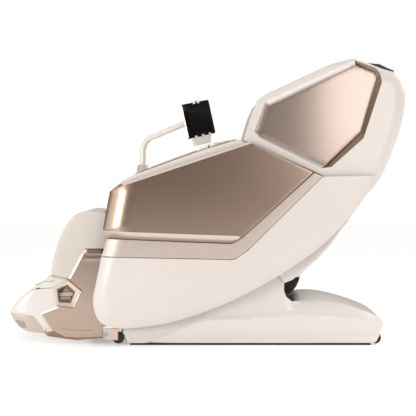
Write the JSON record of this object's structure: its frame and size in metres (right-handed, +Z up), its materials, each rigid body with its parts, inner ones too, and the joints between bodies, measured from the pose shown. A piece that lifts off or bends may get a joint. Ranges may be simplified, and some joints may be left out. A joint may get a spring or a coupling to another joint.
{
  "type": "massage chair",
  "caption": "Reclining full-body massage chair: sliding, tilting seat on a low base, winged backrest, leg and foot rest, armrests, and a tablet holder on a swivelling post.",
  "frame": {"origin": "on the floor, under the middle of the chair's bounding box", "axes": "+Z up; -Y is the way the sitter's feet point; +X is the sitter's left"},
  "size_m": [0.78, 1.732, 1.2451],
  "materials": {
    "cream_shell": "satin moulded ABS, warm cream",
    "base_white": "satin moulded ABS, off-white",
    "bronze_panel": "metallic bronze lacquer",
    "champagne_trim": "light bronze metallic lacquer",
    "leg_bronze": "light bronze metallic lacquer",
    "cream_leather": "soft grained synthetic leather",
    "frame_steel": "black powder coat",
    "bright_steel": "ground bar",
    "black_rubber": "matt",
    "black_plastic": "fine moulded texture",
    "pale_plastic": "white moulded plastic",
    "post_paint": "cream powder coat",
    "collar_bronze": "light bronze lacquer",
    "grille_dark": "dark grille in a bronze ring",
    "screen_glass": "black glass and black case",
    "roller_plastic": "massage roller"
  },
  "bodies": {
    "base": {"base_frame": "frame_steel", "base_pan": "frame_steel", "base_side_cover_left": "base_white", "base_side_cover_right": "base_white", "base_rear_cover": "base_white", "rubber_skirt": "black_rubber", "control_box": "black_plastic", "air_pump": "black_plastic", "slide_actuator": "bright_steel", "power_inlet": "black_plastic", "front_brackets": "collar_bronze"},
    "front_wheel_set": {"front_wheels": "black_rubber"},
    "rear_wheel_set": {"rear_wheels": "black_rubber"},
    "rocker": {"power_rocker": "black_plastic"},
    "carriage": {"carriage_frame": "frame_steel", "tilt_shaft": "bright_steel", "tilt_motor": "black_plastic"},
    "seat": {"seat_frame": "frame_steel", "recline_shaft": "bright_steel", "knee_shaft": "bright_steel", "seat_pan": "black_plastic", "seat_cushion": "cream_leather", "front_apron": "cream_leather", "side_shell_left": "cream_shell", "side_shell_right": "cream_shell", "trim_band_left": "champagne_trim", "trim_band_right": "champagne_trim", "arm_panel_left": "bronze_panel", "arm_panel_right": "bronze_panel", "arm_body_left": "cream_shell", "arm_body_right": "cream_shell", "armrest_pad_left": "cream_leather", "armrest_pad_right": "cream_leather", "tablet_socket": "collar_bronze", "phone_cradle": "pale_plastic"},
    "knob": {"arm_knob": "collar_bronze"},
    "backrest": {"back_cover": "cream_shell", "shoulder_pod_left": "cream_shell", "shoulder_pod_right": "cream_shell", "pod_panel_left": "bronze_panel", "pod_panel_right": "bronze_panel", "back_frame": "frame_steel", "back_cushion": "cream_leather", "top_cap": "black_plastic", "lift_screw": "bright_steel"},
    "pillow": {"head_pillow": "cream_leather"},
    "massager": {"massage_unit": "black_plastic"},
    "knead_left": {"knead_rollers_left": "roller_plastic"},
    "knead_right": {"knead_rollers_right": "roller_plastic"},
    "legrest": {"calf_cushion": "cream_leather", "leg_frame": "frame_steel"},
    "footrest": {"foot_shell": "base_white", "leg_panel_left": "leg_bronze", "leg_panel_right": "leg_bronze", "ankle_badges": "grille_dark"},
    "foot_roller_set": {"foot_rollers": "roller_plastic"},
    "tablet_post": {"tablet_arm": "post_paint"},
    "tablet_head": {"tablet_clamp": "pale_plastic", "tablet": "screen_glass"},
    "top_jaw": {"tablet_top_jaw": "pale_plastic"}
  },
  "joints": [
    {"name": "front_wheels_roll", "type": "hinge", "parent": "base", "child": "front_wheel_set", "pos_m": [0, -0.378, 0.03], "axis": [1, 0, 0], "continuous": true},
    {"name": "rear_wheels_roll", "type": "hinge", "parent": "base", "child": "rear_wheel_set", "pos_m": [0, 0.748, 0.03], "axis": [1, 0, 0], "continuous": true},
    {"name": "power_rock", "type": "hinge", "parent": "base", "child": "rocker", "pos_m": [-0.077, 0.7615, 0.067], "axis": [1, 0, 0], "range_deg": [-7, 7]},
    {"name": "body_slide", "type": "slide", "parent": "base", "child": "carriage", "axis": [0, -1, 0], "range_m": [0, 0.2]},
    {"name": "body_tilt", "type": "hinge", "parent": "carriage", "child": "seat", "pos_m": [0, 0, 0.25], "axis": [-1, 0, 0], "range_deg": [0, 12]},
    {"name": "back_recline", "type": "hinge", "parent": "seat", "child": "backrest", "pos_m": [0, 0.25, 0.364], "axis": [-1, 0, 0], "range_deg": [0, 22]},
    {"name": "leg_raise", "type": "hinge", "parent": "seat", "child": "legrest", "pos_m": [0, -0.445, 0.505], "axis": [-1, 0, 0], "range_deg": [0, 65]},
    {"name": "foot_extend", "type": "slide", "parent": "legrest", "child": "footrest", "axis": [0, -0.4679, -0.8838], "range_m": [0, 0.15], "stiffness_N_per_m": 600, "springref_m": -0.25},
    {"name": "foot_rollers_turn", "type": "hinge", "parent": "footrest", "child": "foot_roller_set", "pos_m": [0, -0.684, 0.104], "axis": [1, 0, 0], "continuous": true},
    {"name": "pillow_flip", "type": "hinge", "parent": "backrest", "child": "pillow", "pos_m": [0, 0.59251, 1.18558], "axis": [-1, 0, 0], "range_deg": [0, 110]},
    {"name": "massage_lift", "type": "slide", "parent": "backrest", "child": "massager", "axis": [0, 0.4848, 0.8746], "range_m": [-0.1, 0.4]},
    {"name": "knead_left_rock", "type": "hinge", "parent": "massager", "child": "knead_left", "pos_m": [0.08, 0.42055, 0.61546], "axis": [1, 0, 0], "range_deg": [-12, 12]},
    {"name": "knead_right_rock", "type": "hinge", "parent": "massager", "child": "knead_right", "pos_m": [-0.08, 0.42055, 0.61546], "axis": [1, 0, 0], "range_deg": [-12, 12]},
    {"name": "tablet_swing", "type": "hinge", "parent": "seat", "child": "tablet_post", "pos_m": [-0.31, -0.297, 0.76], "axis": [0, 0, 1], "range_deg": [-75, 20]},
    {"name": "tablet_tip", "type": "hinge", "parent": "tablet_post", "child": "tablet_head", "pos_m": [-0.0699, -0.0618, 0.9937], "axis": [-0.852, 0.5043, 0.1406], "range_deg": [-25, 25]},
    {"name": "jaw_open", "type": "slide", "parent": "tablet_head", "child": "top_jaw", "axis": [0.0335, -0.2156, 0.9759], "range_m": [0, 0.02], "stiffness_N_per_m": 400, "springref_m": -0.02},
    {"name": "knob_turn", "type": "hinge", "parent": "seat", "child": "knob", "pos_m": [-0.305, 0.128, 0.902], "axis": [0, 0, 1], "continuous": true}
  ],
  "couplings": [
    {"joint": "body_tilt", "follows": "body_slide", "rad_per_m": 1.0472}
  ]
}
